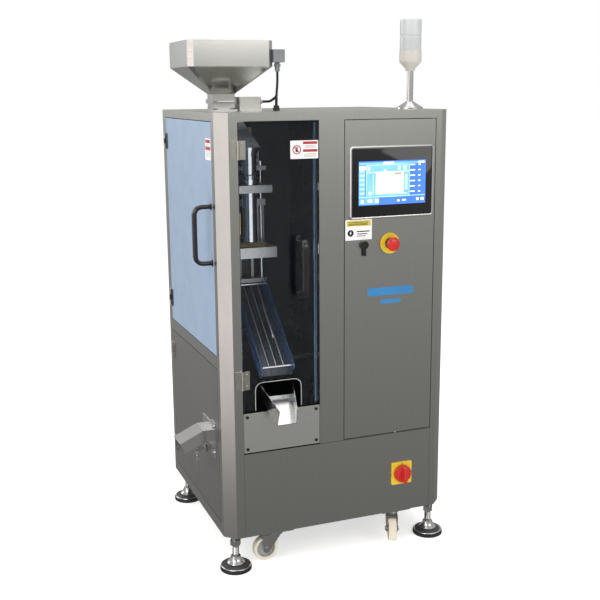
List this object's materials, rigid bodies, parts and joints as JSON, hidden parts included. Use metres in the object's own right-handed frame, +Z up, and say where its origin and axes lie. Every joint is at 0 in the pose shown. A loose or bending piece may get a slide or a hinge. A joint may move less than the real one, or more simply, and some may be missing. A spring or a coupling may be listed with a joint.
{
  "type": "vertical form fill sealer",
  "caption": "Free-standing stainless vertical form fill seal cabinet with hopper, tinted viewing door, operator panel, bag slide, outlet spout, signal tower, casters and levelling feet.",
  "frame": {"origin": "centre of the overall footprint, on the floor", "axes": "+Z up, -Y out of the front face with the operator panel, +X to the right when facing the front"},
  "size_m": [0.807, 0.684, 1.568],
  "materials": {
    "frame_steel": "satin",
    "stainless": "brushed",
    "polished_steel": "polished",
    "dark_plate": "satin",
    "galvanised": "matte",
    "clear_acrylic": "clear",
    "aluminium_blocks": "machined",
    "slide_steel": "brushed",
    "grey_plastic": "matte",
    "grey_metal": "satin",
    "black_plastic": "satin",
    "tower_plastic": "gloss",
    "yellow_plastic": "gloss",
    "red_plastic": "gloss",
    "hinge_steel": "satin",
    "zinc": "zinc plated",
    "tinted_acrylic": "gloss",
    "blue_door": "film covered",
    "hmi_metal": "satin",
    "film": "gloss",
    "jaw_brass": "machined",
    "cream_nylon": "satin",
    "foot_steel": "polished"
  },
  "bodies": {
    "cabinet": {"welded_frame": "frame_steel", "front_frame": "stainless", "lower_front_panel": "stainless", "left_side_frame": "stainless", "right_side_panel": "stainless", "rear_panel": "stainless", "top_plate": "stainless", "partition_wall": "stainless", "machine_plate": "dark_plate", "electrics_plate": "galvanised", "feed_chute": "clear_acrylic", "forming_tube": "stainless", "tube_carrier": "aluminium_blocks", "guide_rods": "polished_steel", "draw_cylinder": "aluminium_blocks", "bag_slide": "slide_steel", "outlet_spout": "stainless", "hopper": "polished_steel", "hopper_throat": "polished_steel", "feeder_box": "grey_plastic", "level_sensor": "grey_metal", "flexible_conduits": "black_plastic", "tower_mast": "tower_plastic", "tower_lights": "tower_plastic", "switch_plate": "yellow_plastic", "hinge_leaves": "hinge_steel", "caster_plates": "zinc", "panel_screws": "zinc", "sill_plate": "polished_steel"},
    "viewing_door": {"viewing_door": "tinted_acrylic", "viewing_door_fittings": "black_plastic"},
    "upper_side_door": {"upper_side_door": "blue_door", "upper_door_fittings": "black_plastic"},
    "lower_side_door": {"lower_side_door": "stainless", "reject_duct": "polished_steel"},
    "side_lock": {"side_lock": "polished_steel"},
    "control_door": {"control_door": "stainless", "hmi_panel": "hmi_metal", "estop_collar": "yellow_plastic"},
    "estop_button": {"estop_button": "red_plastic"},
    "door_latch": {"door_latch": "black_plastic"},
    "switch_knob": {"switch_knob": "red_plastic"},
    "slide_gate": {"slide_gate": "polished_steel"},
    "film_roll": {"film_roll": "film"},
    "draw_carriage": {"draw_carriage": "aluminium_blocks"},
    "sealing_jaw_front": {"sealing_jaw_front": "jaw_brass"},
    "sealing_jaw_rear": {"sealing_jaw_rear": "jaw_brass"},
    "vertical_sealer": {"vertical_sealer": "jaw_brass"},
    "caster_fork_1": {"caster_fork_1": "zinc"},
    "caster_wheel_1": {"caster_wheel_1": "cream_nylon"},
    "caster_fork_2": {"caster_fork_2": "zinc"},
    "caster_wheel_2": {"caster_wheel_2": "cream_nylon"},
    "caster_fork_3": {"caster_fork_3": "zinc"},
    "caster_wheel_3": {"caster_wheel_3": "cream_nylon"},
    "caster_fork_4": {"caster_fork_4": "zinc"},
    "caster_wheel_4": {"caster_wheel_4": "cream_nylon"},
    "levelling_foot_1": {"levelling_foot_1": "foot_steel"},
    "levelling_foot_2": {"levelling_foot_2": "foot_steel"},
    "levelling_foot_3": {"levelling_foot_3": "foot_steel"},
    "levelling_foot_4": {"levelling_foot_4": "foot_steel"}
  },
  "joints": [
    {"name": "viewing_door_swing", "type": "hinge", "parent": "cabinet", "child": "viewing_door", "pos_m": [-0.2525, -0.2793, 0.823], "axis": [0, 0, -1], "range_deg": [0, 110]},
    {"name": "upper_side_door_swing", "type": "hinge", "parent": "cabinet", "child": "upper_side_door", "pos_m": [-0.3128, 0.289, 0.9625], "axis": [0, 0, -1], "range_deg": [0, 110]},
    {"name": "lower_side_door_swing", "type": "hinge", "parent": "cabinet", "child": "lower_side_door", "pos_m": [-0.3128, 0.289, 0.3715], "axis": [0, 0, -1], "range_deg": [0, 110]},
    {"name": "side_lock_turn", "type": "hinge", "parent": "lower_side_door", "child": "side_lock", "pos_m": [-0.3085, -0.078, 0.32], "axis": [1, 0, 0], "range_deg": [0, 90]},
    {"name": "control_door_swing", "type": "hinge", "parent": "cabinet", "child": "control_door", "pos_m": [0.3355, -0.2708, 0.823], "axis": [0, 0, 1], "range_deg": [0, 70]},
    {"name": "estop_press", "type": "slide", "parent": "control_door", "child": "estop_button", "axis": [0, 1, 0], "range_m": [0, 0.004], "stiffness_N_per_m": 5000},
    {"name": "door_latch_turn", "type": "hinge", "parent": "control_door", "child": "door_latch", "pos_m": [0.1165, -0.275, 0.936], "axis": [0, 1, 0], "range_deg": [0, 90]},
    {"name": "main_switch_turn", "type": "hinge", "parent": "cabinet", "child": "switch_knob", "pos_m": [0.247, -0.275, 0.228], "axis": [0, 1, 0], "range_deg": [0, 90]},
    {"name": "slide_gate_pull", "type": "slide", "parent": "cabinet", "child": "slide_gate", "axis": [0, -1, 0], "range_m": [0, 0.055]},
    {"name": "film_roll_spin", "type": "hinge", "parent": "cabinet", "child": "film_roll", "pos_m": [-0.1385, 0.188, 0.98], "axis": [1, 0, 0], "continuous": true},
    {"name": "carriage_draw", "type": "slide", "parent": "cabinet", "child": "draw_carriage", "axis": [0, 0, -1], "range_m": [0, 0.038]},
    {"name": "front_jaw_close", "type": "slide", "parent": "draw_carriage", "child": "sealing_jaw_front", "axis": [0, 1, 0], "range_m": [0, 0.018]},
    {"name": "rear_jaw_close", "type": "slide", "parent": "draw_carriage", "child": "sealing_jaw_rear", "axis": [0, -1, 0], "range_m": [0, 0.018]},
    {"name": "vertical_sealer_press", "type": "slide", "parent": "cabinet", "child": "vertical_sealer", "axis": [1, 0, 0], "range_m": [0, 0.0095]},
    {"name": "caster_swivel_1", "type": "hinge", "parent": "cabinet", "child": "caster_fork_1", "pos_m": [-0.1505, -0.237, 0.101], "axis": [0, 0, 1], "continuous": true},
    {"name": "caster_wheel_spin_1", "type": "hinge", "parent": "caster_fork_1", "child": "caster_wheel_1", "pos_m": [-0.1805, -0.237, 0.0455], "axis": [0, -1, 0], "continuous": true},
    {"name": "caster_swivel_2", "type": "hinge", "parent": "cabinet", "child": "caster_fork_2", "pos_m": [0.2335, -0.237, 0.101], "axis": [0, 0, 1], "continuous": true},
    {"name": "caster_wheel_spin_2", "type": "hinge", "parent": "caster_fork_2", "child": "caster_wheel_2", "pos_m": [0.22275, -0.26501, 0.0455], "axis": [0.9336, -0.3584, 0], "continuous": true},
    {"name": "caster_swivel_3", "type": "hinge", "parent": "cabinet", "child": "caster_fork_3", "pos_m": [-0.1505, 0.287, 0.101], "axis": [0, 0, 1], "continuous": true},
    {"name": "caster_wheel_spin_3", "type": "hinge", "parent": "caster_fork_3", "child": "caster_wheel_3", "pos_m": [-0.17769, 0.27432, 0.0455], "axis": [0.4226, -0.9063, 0], "continuous": true},
    {"name": "caster_swivel_4", "type": "hinge", "parent": "cabinet", "child": "caster_fork_4", "pos_m": [0.2335, 0.287, 0.101], "axis": [0, 0, 1], "continuous": true},
    {"name": "caster_wheel_spin_4", "type": "hinge", "parent": "caster_fork_4", "child": "caster_wheel_4", "pos_m": [0.20531, 0.29726, 0.0455], "axis": [-0.342, -0.9397, 0], "continuous": true},
    {"name": "levelling_foot_adjust_1", "type": "slide", "parent": "cabinet", "child": "levelling_foot_1", "axis": [0, 0, 1], "range_m": [-0.015, 0.012]},
    {"name": "levelling_foot_adjust_2", "type": "slide", "parent": "cabinet", "child": "levelling_foot_2", "axis": [0, 0, 1], "range_m": [-0.015, 0.012]},
    {"name": "levelling_foot_adjust_3", "type": "slide", "parent": "cabinet", "child": "levelling_foot_3", "axis": [0, 0, 1], "range_m": [-0.015, 0.012]},
    {"name": "levelling_foot_adjust_4", "type": "slide", "parent": "cabinet", "child": "levelling_foot_4", "axis": [0, 0, 1], "range_m": [-0.015, 0.012]}
  ],
  "couplings": [
    {"joint": "rear_jaw_close", "follows": "front_jaw_close", "ratio": 1}
  ]
}
